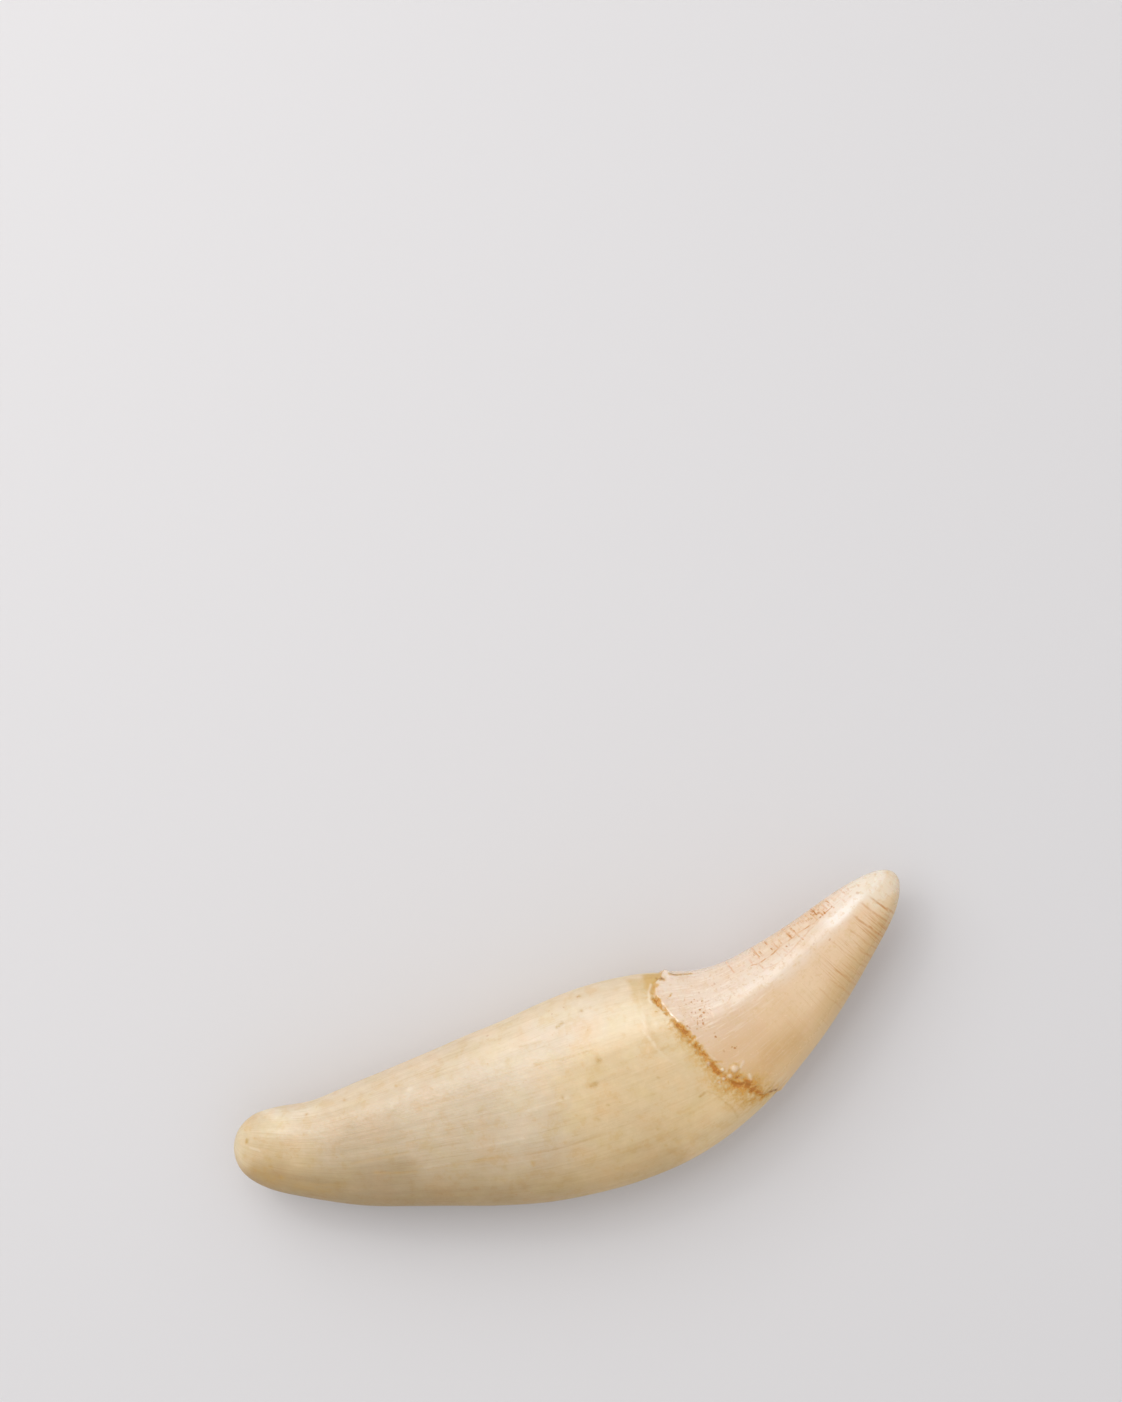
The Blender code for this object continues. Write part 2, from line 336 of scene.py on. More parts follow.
tanMarks = [  # soft darker patches, specks and fine lines on the root
    (0.09, -0.02, 0.9, (38.25, 114), (38.5, 113.6), (38.7, 113.3)),
    (0.07, -0.015, 0.3, (38.9, 113), (39.3, 117), (39.6, 123), (39.8, 129)),
    (0.07, -0.015, 0.35, (39.8, 129), (40, 134), (40.1, 141), (40.1, 150)),
    (0.2, -0.03, 0.9, (31.6, 71.5)), (0.17, -0.02, 0.8, (30.4, 84), (30.8, 83.3)),
    (0.16, -0.04, 0.6, (27.85, 85)), (0.12, -0.02, 0.5, (24.05, 118.5), (24.1, 121)),
    (0.13, -0.02, 0.6, (30.2, 140)), (0.1, -0.01, 0.5, (28.5, 97)), (0.11, -0.01, 0.6, (31.1, 97)),
    (0.1, -0.01, 0.6, (35.7, 92)), (0.11, -0.01, 0.4, (29.8, 102), (30.1, 103.5)),
    (0.13, -0.02, 0.5, (34.3, 122)), (0.14, -0.02, 0.5, (34.4, 136)),
    (0.15, -0.02, 0.6, (14.6, 40)), (0.15, -0.02, 0.4, (18.5, 32)), (0.13, -0.01, 0.4, (17.3, 54)),
    (0.13, -0.01, 0.6, (29.1, 40.5), (29.7, 38)), (0.15, -0.02, 0.6, (31.5, 34)),
    (0.2, -0.02, 0.6, (31.7, 19)), (0.1, -0.01, 0.25, (25.5, 45), (26.6, 46), (27.4, 46.8)),
    (0.13, -0.015, 0.28, (11.5, 112), (13, 114.5), (14.8, 115.5)),
    (0.1, -0.01, 0.16, (15.8, 115), (18.6, 113)),
    (0.13, -0.02, 0.3, (19.3, 112.8), (20.4, 111.4), (21.6, 111.2)),
    (0.11, -0.01, 0.16, (23.4, 112), (25.6, 113.2)),
    (0.12, -0.01, 0.18, (27.6, 113.5), (30, 112.6)),
    (0.12, -0.015, 0.2, (9.8, 101), (11.5, 100), (13.3, 99), (14.5, 98)),
    (0.11, -0.015, 0.18, (14.6, 91), (16, 90), (18.2, 91)),
    (0.12, -0.015, 0.15, (19.6, 91), (22.6, 90)),
    (0.11, -0.01, 0.15, (16.1, 67), (18.6, 66.5), (20.4, 67)),
    (0.14, -0.01, 0.15, (6.5, 128), (9, 124)), (0.11, 0, 0.3, (26.3, 61), (28.5, 63), (31, 64)),
    (0.2, -0.03, 0.4, (9.9, 33)), (0.16, -0.02, 0.6, (6.1, 37)), (0.13, -0.02, 0.5, (5.95, 66)),
    (0.15, -0.03, 0.6, (3.4, 113)), (0.18, -0.02, 0.6, (4.35, 125)), (0.14, -0.02, 0.4, (4.05, 97)),
    (0.1, -0.02, 0.5, (1.7, 75)), (0.12, -0.02, 0.35, (9.1, 92)),
    (0.13, -0.08, 0.9, (1.1, 80), (1.08, 85)), (0.3, 0, 0.3, (1.2, 112)),
    (0.22, -0.01, 0.4, (3, 119)), (0.45, 0, 0.3, (2.4, 128), (3.7, 133)),
    (0.5, 0, 0.25, (5.6, 136), (7.8, 138)), (0.2, 0, 0.3, (2.9, 101), (3.3, 104)),
]


def strokeGap(form, straight, places):  # distance from every point to the stroke
    along, turn = np.array(places, float).T
    corners = form.straightPoint(along, np.radians(turn))
    if len(corners) == 1:
        return np.linalg.norm(straight - corners[0], axis=-1)
    gaps = []
    for start, end in zip(corners[:-1], corners[1:]):
        run = end - start
        share = np.clip((straight - start) @ run / (run @ run), 0, 1)
        gaps.append(np.linalg.norm(straight - start - share[..., None] * run, axis=-1))
    return np.min(gaps, axis=0)


def byTurn(turn, table):  # reads a list of turn, value all the way round
    at, values = np.array(table, float).T
    return np.interp(np.degrees(turn), at, values, period=360)


class Surface:  # height over the smooth form at every point, and the masks that it is painted with

    def __init__(self, form, along, turn, straight):
        self.form = form
        self.along = along
        self.turn = turn
        self.degrees = np.degrees(turn)
        self.straight = straight
        self.edge = along - byTurn(turn, neckShape["edge"]) - self.rippled("scallop")
        self.onCrown = smoothStep(-neckShape["rise"] / 2, neckShape["rise"] / 2, self.edge)
        self.stain = byTurn(turn, stainShape["groove"]) * (0.8 + self.rippled("stain"))
        self.height = np.zeros(along.shape)
        self.amber, self.brown, self.pale, self.tan = np.zeros((4, *along.shape))

    def rippled(self, name):
        size, step, countRound, seed = ripples[name]
        return size * ripple(self.along, self.turn, step, countRound, seed)

    def offEnds(self, distance):  # 1, but dying away over that distance at the apex and the tip
        return smoothStep(0, distance, self.along) * smoothStep(0, distance, self.form.length - self.along)

    def addUnevenness(self):  # slow swellings, long fine flutes and pebbling
        self.height += (self.rippled("swell") + self.rippled("dimple")) * self.offEnds(rippleFades["ends"])
        fluted = smoothStep(*rippleFades["flutes"], self.along)
        fluted = fluted * (1 - rippleFades["crownFlutes"] * self.onCrown)
        self.height += (self.rippled("flute") + self.rippled("fineFlute")) * fluted
        self.height += self.rippled("pebble")

    def addCrest(self):  # between two flattened faces, and a fainter one on the other flank
        at, crestTurn = np.array(ridgeShape["line"], float).T
        nearTip = smoothStep(ridgeShape["tipFrom"], self.form.length, self.along)
        growth = smoothStep(ridgeShape["starts"], ridgeShape["full"], self.along)
        growth = growth * (1 - ridgeShape["tipLoss"] * nearTip)
        halfBreadth = np.sqrt(self.form.breadthSquared(self.along).clip(0)) / 2
        size = growth * np.clip(halfBreadth / ridgeShape["fullBreadth"], *ridgeShape["sizes"])
        past, before = ridgeShape["rounder"]
        blunt = smoothStep(past, -before, self.edge)
        crownRoundness = ridgeShape["roundness"]
        roundness = crownRoundness + (ridgeShape["rootRoundness"] - crownRoundness) * blunt
        roundness = roundness + (ridgeShape["tipRoundness"] - crownRoundness) * nearTip
        middle = np.interp(self.along, at, crestTurn)
        for flankTurn, share in ((self.degrees, 1.0), (360 - self.degrees, ridgeShape["farShare"])):
            away = np.radians(flankTurn - middle) * halfBreadth
            crest = np.sqrt(away**2 + roundness**2) - roundness
            self.height += share * ridgeShape["height"] * size * np.exp(-crest / ridgeShape["width"])
            for dentTurn, width, depth in ridgeShape["dents"]:
                self.height -= share * depth * size * bell(flankTurn - dentTurn, width)

    def addNeck(self):  # the enamel's step, its lip, the groove before it and the knobs along it
        fade = 1 - np.clip(self.edge / neckShape["fade"], 0, 1)
        self.height += neckShape["proud"] * self.onCrown * fade**2
        lip, past, width = neckShape["lip"]
        self.height += lip * bell(self.edge - past, width) * (0.7 + self.rippled("lip"))
        gutter, before, width = neckShape["gutter"]
        self.height -= gutter * bell(self.edge + before, width) * self.stain
        self.height += bell(self.edge, neckShape["knobs"]) * self.rippled("knob")

    def addStain(self):  # amber in the groove, with gaps, and its golden haze
        away = self.edge + stainShape["before"]
        patches = np.maximum(0.5 + self.rippled("stainPatch"), 0)
        least, greatest = stainShape["grooveWidth"]
        width = least + (greatest - least) * smoothStep(-0.3, 0.8, self.rippled("stainWidth"))
        self.amber += stainShape["grooveStrength"] * self.stain * patches * bell(away, width)

        wider = smoothStep(*stainShape["widerFrom"], self.degrees)
        wider = wider * (1 - smoothStep(*stainShape["widerTo"], self.degrees))
        overRoot, overCrown = [width + more * wider
                               for width, more in zip(stainShape["hazeWidth"], stainShape["hazeWider"])]
        haze = bell(away, np.where(away < 0, overRoot, overCrown))
        self.amber += stainShape["hazeStrength"] * byTurn(self.turn, stainShape["haze"]) * haze

    def addBand(self):  # the thin pale line round the root, and the painted shadow strip beside it
        away = self.along - byTurn(self.turn, bandShape["line"]) - self.rippled("band")
        shows = byTurn(self.turn, bandShape["shows"]) * (0.7 + self.rippled("bandShows"))
        rise, width = bandShape["rise"]
        self.height += rise * bell(away, width) * shows
        strength, width = bandShape["pale"]
        self.pale += strength * bell(away, width) * shows
        # Painted shadow of the raised line, laid into the tan mask.
        strength, width = bandShape["shadowStrip"]
        self.tan += strength * bell(away - bandShape["shadowStripAt"], width) * shows

    def addFolds(self):  # brown in their valleys and pale on top: painted shade in the valleys and painted highlight on the tops, over the strands' own colour
        away = strokeGap(self.form, self.straight, [foldShape["middle"]])
        folds = bell(away, foldShape["radius"]) * smoothStep(-0.1, 0.3, self.edge)
        hairs = self.rippled("fold")
        self.height += foldShape["height"] * hairs * folds
        # The strands' brown and pale follow the relief: painted shade in the valleys, painted highlight on
        # the tops.
        self.brown += foldShape["brown"] * folds * smoothStep(0.15, 0.8, -hairs)
        self.pale += foldShape["pale"] * folds * smoothStep(0.1, 0.8, hairs)

    def addMarks(self):
        for marks, mask in (
            (brownMarks, self.brown), (amberMarks, self.amber), (paleMarks, self.pale), (tanMarks, self.tan),
        ):
            for width, rise, strength, *places in marks:
                near = bell(strokeGap(self.form, self.straight, places), width)
                self.height += rise * near
                mask += strength * near
        strength, radius, thickness = amberRing
        for width, _, _, *places in ringedMarks:
            away = strokeGap(self.form, self.straight, places) - radius * width
            self.amber += strength * bell(away, thickness * width)

    def masks(self):
        return dict(edgeDistance=np.clip(self.edge, -4, 20), amberStain=self.amber,
                    brownStain=self.brown, paleMark=self.pale, tanMarkAndShadow=self.tan)


def detailedSurface(form, along, turn, straight):
    surface = Surface(form, along, turn, straight)
    surface.addUnevenness()
    surface.addCrest()
    surface.addNeck()
    surface.addStain()
    surface.addBand()
    surface.addFolds()
    surface.addMarks()
    surface.height *= surface.offEnds(0.5)  # the poles stay in place
    return surface


def gridNormals(points):
    goesAlong = np.gradient(points, axis=0)
    goesRound = np.roll(points, -1, axis=1) - np.roll(points, 1, axis=1)
    normals = np.cross(goesRound, goesAlong)
    return normals / np.maximum(np.linalg.norm(normals, axis=-1, keepdims=True), 1e-9)


def pressedFlat(verts):  # a small flat underneath, where the tooth lies
    low = verts[:, 2].min() + toothShape["restCut"]
    soft = toothShape["restBlend"]
    verts[:, 2] = low + soft * np.logaddexp(0, (verts[:, 2] - low) / soft)
    return verts


def fittedInBox(verts):  # set in the middle of the frame's box, on its floor
    cadLow, cadHigh = (np.array(corner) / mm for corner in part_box("tooth"))
    low, high = verts.min(axis=0), verts.max(axis=0)
    scale = np.minimum(1, (cadHigh - cadLow - 2 * toothShape["boxMargin"]) / (high - low))
    verts = (verts - (low + high) / 2) * scale
    middle = (cadLow + cadHigh) / 2
    middle[2] = cadLow[2] + toothShape["boxMargin"] - verts[:, 2].min()
    print("tooth fitted in its box by", scale.round(4))
    return verts + middle


def unrolledFaces(rings, count):
    # Faces between the rings of points and in a fan at each end, as numbers of their points, and the
    # corners' places on the unrolled surface: along the tooth and round it, with a seam underneath.
    here = np.arange(count)[:, None]
    faces = []
    places = []

    def add(row, column, pole=None):
        row, column = np.broadcast_arrays(row, column)
        numbers = 1 + row * count + np.floor(column).astype(int) % count
        u = (row + 1) / (rings + 1)
        if pole is not None:
            numbers[:, 0], u[:, 0] = pole
        faces.extend(numbers.reshape(-1, row.shape[-1]).tolist())
        places.append(np.stack([u, column / count], axis=-1).reshape(-1, 2))

    add(0, here + [0.5, 0, 1], (0, 0))
    add(np.arange(rings - 1)[:, None, None] + [0, 1, 1, 0], here + [0, 0, 1, 1])
    add(rings - 1, here + [0.5, 1, 0], (1 + rings * count, 1))
    return faces, np.concatenate(places)


def makeTooth():
    form = ToothForm(toothShape)
    ringAt = spread(toothShape["bands"] + 1, form.length, ringDensity(form.length))
    seam = -np.pi / 2  # the rings start and end underneath
    turns = seam + spread(toothShape["around"] + 1, 2 * np.pi, lambda t: turnDensity(t + seam))
    along, turn = np.meshgrid(ringAt[1:-1], turns[:-1], indexing="ij")
    straight = form.straightPoint(along, turn)
    surface = detailedSurface(form, along, np.mod(turn, 2 * np.pi), straight)
    smooth = form.bowed(straight)
    points = smooth + gridNormals(smooth) * surface.height[..., None]
    poles = [(0, 0, 0), (form.length, 0, 0)]  # the apex and the tip

    def withPoles(grid, apex, tip):
        return np.concatenate([np.reshape(apex, (1, -1)), grid.reshape(along.size, -1),
                               np.reshape(tip, (1, -1))])

    verts = fittedInBox(pressedFlat(withPoles(points, *form.bowed(np.array(poles, float)))))
    faces, places = unrolledFaces(*along.shape)
    mesh = bpy.data.meshes.new("tooth_surface")
    mesh.from_pydata((verts * mm).tolist(), [], faces)
    mesh.shade_smooth()
    mesh.uv_layers.new(name="OFBake").data.foreach_set("uv", places.ravel())

    ring = np.stack([along, np.cos(turn), np.sin(turn)], axis=-1)
    for name, grid in (("toothPlace", straight), ("ringPlace", ring)):
        column = withPoles(grid, *poles).astype(np.float32).ravel()
        mesh.attributes.new(name, "FLOAT_VECTOR", "POINT").data.foreach_set("vector", column)
    for name, grid in surface.masks().items():
        column = withPoles(grid, grid[0].mean(), grid[-1].mean()).astype(np.float32).ravel()
        mesh.attributes.new(name, "FLOAT", "POINT").data.foreach_set("value", column)

    tooth = bpy.data.objects.new("bear_tooth", mesh)
    bpy.context.scene.collection.objects.link(tooth)
    print("tooth made:", len(mesh.polygons), "faces")
    return tooth, form


# Finish of the tooth. Colours are red, green and blue from 0 to 255.

surfaceNoises = dict(  # scale, detail, roughness
    mottle=(0.14, 3.0, 0.6),
    hue=(0.4, 2.0, 0.5),
    cloud=(0.35, 3.0, 0.55),
    grit=(4.0, 4.0, 0.65),
    blotch=(0.9, 4.0, 0.65),
    dapple=(2.8, 3.0, 0.65),
    speck=(2.3, 3.0, 0.6),
    clump=(2.4, 4.0, 0.68),
)
lengthwiseNoises = dict(  # scale along, scale round, detail, roughness; these fan out with the tooth
    streak=(0.112, 9.6, 3.0, 0.55),
    hair=(0.495, 33.0, 2.0, 0.6),
    thread=(0.27, 54.0, 2.0, 0.6),
)
polesFade = dict(apex=(-0.5, 4.2), tip=2.5)  # stretches in which tones stop following the turn

rootFinish = dict(
    cream=(222, 202, 174),  # towards the hollow side
    tan=(205, 183, 150),  # the flanks
    shade=(188, 162, 122),  # towards the bowed side
    drift=9.0,  # distance and turn by which the patches are shifted unevenly
    swing=26.0,
    paintedHighlight=(246, 229, 199),  # painted highlight: the bright strip above the crest near the crown, where the light catches the flank
    highlightAlong=(34, 36.5, 4.5),  # its start, end and softness
    highlightTurn=(26, 46, 72, 55),  # turns over which it sets in and ends again
    highlightSwing=8.0,
    highlightStrength=0.62,
    roughness=(0.50, 0.62),
)
pinkTint = (1.03, 0.99, 0.96)  # tints multiply the colour under them
greenTint = (0.98, 0.975, 0.91)
goldTint = (0.97, 0.92, 0.82)
paleTint = (1.04, 1.05, 1.07)
darkTint = (0.92, 0.88, 0.81)
speckTint = (0.92, 0.82, 0.64)
rootTints = [  # noise, its values where the tint sets in and is full, strength, tint
    ("hue", 0.45, 0.72, 1.0, pinkTint),
    ("hue", 0.5, 0.3, 1.0, greenTint),
    ("mottle", 0.45, 0.7, 0.7, paleTint),
    ("blotch", 0.5, 0.66, 1.0, goldTint),
    ("blotch", 0.48, 0.34, 0.9, paleTint),
    ("streak", 0.5, 0.75, 0.55, darkTint),
    ("streak", 0.5, 0.25, 0.55, paleTint),
    ("hair", 0.45, 0.25, 0.42, darkTint),
    ("thread", 0.54, 0.68, 1.0, paleTint),
    ("thread", 0.45, 0.32, 1.0, darkTint),
    ("speck", 0.66, 0.76, 0.7, speckTint),
]
rootPatches = [  # distance from, to and softness, turn from, to and softness, colour, strength
    (-1, 1, 3, 45, 95, 35, (236, 220, 184), 0.5),
    (1, 10, 3, 50, 74, 14, (208, 182, 142), 0.4),
    (2.4, 6, 2.5, 82, 140, 25, (206, 176, 126), 0.5),
    (9.5, 14, 5, 78, 180, 30, (176, 154, 120), 0.62),
    (4, 17, 11, 122, 180, 26, (162, 135, 90), 0.58),
    (15, 26, 6, 60, 112, 30, (213, 195, 170), 0.45),
    (11.5, 22, 4, 62, 130, 16, (184, 160, 122), 0.36),
    (29.5, 40, 5, 64, 125, 26, (226, 198, 151), 0.75),
    (31, 41, 10, 135, 180, 26, (208, 178, 128), 0.65),
    (38.2, 43, 4.5, 124, 180, 18, (238, 210, 164), 0.6),
    (25, 38, 5, 0, 40, 20, (232, 212, 180), 0.5),
]
rootSpots = [  # the like, but kept to their exact places
    (36.35, 37.3, 0.6, 18, 45, 8, (208, 178, 116), 0.55),
    (37.7, 39.5, 0.6, 10, 40, 9, (210, 171, 98), 0.85),
    (2, 4.5, 1.5, 85, 110, 12, (200, 172, 128), 0.35),
    (8.5, 13, 2.5, 50, 70, 8, (205, 182, 148), 0.35),
    (11.1, 13.5, 2.1, 108, 134, 14, (170, 146, 110), 0.72),
    (27, 32, 2, 30, 56, 10, (240, 226, 212), 0.3),
    (7.5, 19, 3, 48, 70, 10, (196, 172, 138), 0.3),
    (10.5, 13.5, 1.8, 64, 84, 8, (187, 163, 128), 0.6),
    (28.5, 33, 3.5, 108, 132, 12, (200, 176, 138), 0.33),
    (2, 6.5, 1.5, 28, 44, 8, (234, 220, 198), 0.5),
    (2, 4, 1.5, 44, 60, 8, (238, 222, 194), 0.35),
    (2.6, 4, 1.5, 106, 160, 14, (178, 150, 104), 0.35),
    (1.5, 6.5, 1.5, 58, 72, 8, (196, 172, 136), 0.25),
    (22, 28.5, 2, 50, 68, 8, (206, 186, 158), 0.3),
    (34.5, 38.5, 1.5, 72, 84, 8, (240, 218, 180), 0.25),
]
crownFinish = dict(
    cream=(237, 216, 195),  # hollow side of the crest
    pink=(233, 207, 183),
    gold=(224, 190, 142),
    peach=(235, 204, 168),  # below the crest
    tan=(228, 192, 144),  # towards the bowed side
    streakPale=(250, 236, 220),
    streakPink=(220, 186, 158),
    line=(194, 124, 40),  # growth lines
    crack=(204, 134, 44),
    crackDeep=(166, 98, 26),
    swing=16.0,  # turn by which the tones and patches are shifted unevenly
    roughness=(0.20, 0.28),
    bowedDulling=0.22,  # added to the roughness on the bowed side
)
crownGlazes = [  # noise, its values where the glaze sets in and is full, strength, name of the colour
    ("blotch", 0.5, 0.68, 0.3, "gold"),
    ("dapple", 0.47, 0.34, 0.42, "gold"),
    ("hair", 0.52, 0.68, 0.5, "streakPale"),
    ("hair", 0.46, 0.28, 0.34, "streakPink"),
    ("streak", 0.5, 0.7, 0.4, "pink"),
]
crownPatchesAndHighlights = [  # distance from, to and softness, turn from, to and softness, colour, strength; several are painted highlights along the crest and near the tip
    (39, 43.8, 2, 70, 104, 10, (225, 194, 163), 0.6),
    (39.5, 47, 2.5, 96, 120, 12, (222, 182, 132), 0.55),
    (43, 47.5, 2.5, 70, 130, 14, (226, 190, 148), 0.3),
    (40.5, 46, 2, 120, 180, 14, (214, 172, 114), 0.64),
    # paler at the bowed outline: partly its own tone, partly painted reflected light
    (42.5, 48.5, 5, 142, 180, 16, (238, 204, 154), 0.5),
    (49.5, 55.3, 1.5, 0, 41, 8, (229, 197, 161), 0.6),
    # painted highlight just above the crest
    (43, 50, 2, 44, 58, 6, (240, 222, 204), 0.5),
    # pale face above the crest, partly painted sheen
    (49.5, 58.5, 2.5, 30, 74, 14, (236, 214, 192), 0.5),
    (53, 60, 9, 146, 180, 44, (206, 172, 118), 0.7),
    # painted highlight: the bright wedge near the tip
    (55.5, 59, 2, 22, 66, 10, (248, 236, 224), 0.5),
    # painted highlight along the crest
    (43.5, 50, 2.5, 58, 65, 8, (250, 238, 226), 0.3),
    # painted highlight near the tip
    (55.4, 58, 1.4, 56, 66, 8, (253, 246, 238), 0.45),
    (58.8, 63, 1.2, 0, 100, 20, (240, 229, 209), 0.62),
    (58.8, 63, 1, 120, 180, 20, (238, 217, 180), 0.45),
    # painted highlight where the crest runs out at the tip
    (59.3, 60.8, 0.7, 66, 76, 5, (248, 243, 234), 0.4),
    (54.3, 55.2, 0.5, 6, 34, 5, (218, 172, 104), 0.2),
    (46.5, 50, 2, 92, 112, 14, (240, 212, 174), 0.32),
    (44.2, 46.4, 1.4, 112, 128, 9, (208, 170, 118), 0.3),
]
stainFinish = dict(
    gold=(216, 172, 98),
    amber=(214, 154, 62),
    amberDeep=(186, 114, 28),
    brown=(134, 78, 26),
    pale=(248, 236, 218),
    # tan also colours the painted shadow strip beside the pale line round the root
    tan=(194, 152, 76),
    freckle=(188, 117, 30),
)
toothShader = {
    "Metallic": 0.0,
    "IOR": 1.5,
    "Subsurface Weight": 0.2,
    "Subsurface Radius": (1.0, 0.55, 0.3),  # red goes deepest
    "Subsurface Scale": 0.8 * mm,
}
reliefScale = {"Strength": 1.0, "Distance": mm}
growthLines = [  # distance from the apex, turn at which it starts, half width, strength
    (58.76, 72, 0.07, 0.75), (57.92, 70, 0.07, 0.7), (57.46, 122, 0.08, 0.9), (56.72, 74, 0.08, 1),
    (55.62, 86, 0.06, 0.6), (54.85, 116, 0.07, 0.7), (53.93, 78, 0.05, 0.55), (53.15, 120, 0.06, 0.4),
    (52.38, 106, 0.07, 0.65), (51.49, 108, 0.06, 0.5), (50.32, 104, 0.06, 0.4), (54.3, 124, 0.06, 0.4),
    (56.1, 118, 0.05, 0.3), (58.35, 110, 0.06, 0.35), (59.2, 126, 0.05, 0.35),
]
mainCrack = [  # distance from the apex, turn
    (43.5, 37), (44.5, 36), (46.3, 39), (47, 39), (47.7, 37), (48.3, 41), (49.8, 41), (50.5, 39),
    (51.3, 38.5), (52.8, 38.5), (53.5, 40), (54, 41), (54.8, 39), (56, 38.5), (57, 38), (58.4, 37),
]
sideCrack = [
    (48.2, 44), (48.35, 52), (48.6, 54.5), (49.5, 57), (50.2, 56), (51, 55), (52, 52), (53, 48),
    (54, 45.5), (55, 43),
]
longCracks = [  # places, distances from the apex where it starts and ends, strength
    (mainCrack, 47.8, 58.0, 0.75),
    (sideCrack, 48.3, 54.8, 0.32),
]
crossCracks = [  # distance from the apex, first turn, last turn, strength
    (46.1, 8, 33, 0.5), (48.75, 6, 32, 0.7),
    (48.3, 42, 53, 0.5), (50.1, 41, 55, 0.35), (50.7, 41, 52, 0.3), (50.45, 28, 38, 0.4),
    (51.25, 12, 36, 0.35), (51.85, 6, 38, 0.9), (52.4, 8, 52, 0.9), (53.1, 20, 38, 0.5),
    (53.5, 8, 24, 0.35), (54, 10, 28, 0.5), (54.05, 37, 46, 0.45), (54.45, 18, 38, 0.45),
    (54.72, 4, 32, 1.2), (55, 8, 42, 1.2), (55.25, 10, 40, 0.9), (55.6, 14, 34, 0.45),
    (56.1, 8, 42, 0.9), (56.55, 16, 34, 0.35), (57.05, 22, 45, 0.55), (57.55, 18, 38, 0.85),
    (57.95, 22, 36, 0.35), (58.8, 26, 40, 0.3),
]
freckleJitter = 0.16  # how far noise draws their rims out of round
freckles = [  # distance from the apex, turn, radius, strength
    (40.4, 59, 0.09, 0.7), (40.75, 60, 0.08, 0.6), (41.25, 58.5, 0.11, 1), (41.45, 62, 0.12, 1),
    (41.05, 64, 0.1, 0.7), (40.65, 64.5, 0.07, 0.6), (40.5, 68, 0.08, 0.6), (40.9, 69.5, 0.12, 1),
    (41.5, 50, 0.08, 0.4), (41.8, 57, 0.08, 0.5), (39.5, 68, 0.1, 0.8), (42.1, 41, 0.1, 0.4),
    (43.9, 36.5, 0.13, 0.4), (41.2, 66.5, 0.06, 0.5), (40.9, 56, 0.06, 0.4),
    (40.15, 62, 0.06, 0.4), (40.3, 65.5, 0.06, 0.5), (41.7, 60.2, 0.06, 0.4), (40.75, 67, 0.06, 0.5),
    (41.35, 82, 0.1, 1), (41.42, 79.3, 0.06, 0.4), (42.12, 94.6, 0.07, 0.7), (42.27, 96.3, 0.1, 1),
    (42.45, 96, 0.05, 0.6), (41.4, 94, 0.09, 0.4), (51.05, 44.5, 0.09, 0.8),
    (31.57, 19, 0.1, 0.6), (30.16, 25, 0.1, 0.4), (29, 27, 0.09, 0.5), (22.8, 22, 0.12, 0.4),
    (22.2, 147, 0.08, 0.5), (23.4, 146, 0.09, 0.3), (53.9, 79, 0.1, 0.5), (52.75, 68, 0.1, 0.3),
    (58.3, 53, 0.14, 0.45), (56.05, 38, 0.09, 0.7), (54.78, 40, 0.12, 0.8),
    (54.75, 18, 0.13, 0.9), (54.55, 27, 0.13, 0.6), (54.9, 30, 0.14, 0.75), (54.4, 22, 0.1, 0.5),
    (55.1, 24, 0.11, 0.6), (54.2, 31, 0.1, 0.5),
]


def paint(colour):  # from screen values to the shader's linear ones
    linear = [((c / 255 + 0.055) / 1.055)**2.4 if c > 10 else c / 3295 for c in colour]
    return (*linear, 1.0)


class Value:  # what the nodes of a material work out at every point

    def __init__(self, brush, socket):
        self.brush = brush
        self.socket = socket

    def __add__(self, other):
        return self.brush.maths("ADD", self, other)

    def __sub__(self, other):
        return self.brush.maths("SUBTRACT", self, other)

    def __mul__(self, other):
        return self.brush.maths("MULTIPLY", self, other)

    def __abs__(self):
        return self.brush.maths("ABSOLUTE", self)

    def atMost(self, limit):
        return self.brush.maths("MINIMUM", self, limit)

    def between(self, low, high, start=0.0, end=1.0):  # eased from start at low to end at high
        return self.brush.node("MapRange", (self, low, high, start, end),
                               interpolation_type="SMOOTHSTEP", clamp=False)

    def window(self, low, high, fade):  # 1 from low to high, fading out beside them
        return self.between(low - fade, low) * self.between(high + fade, high)

    def swayed(self, noise, size):  # shifted by a noise, by up to half the size either way
        return self + (noise - 0.5) * size


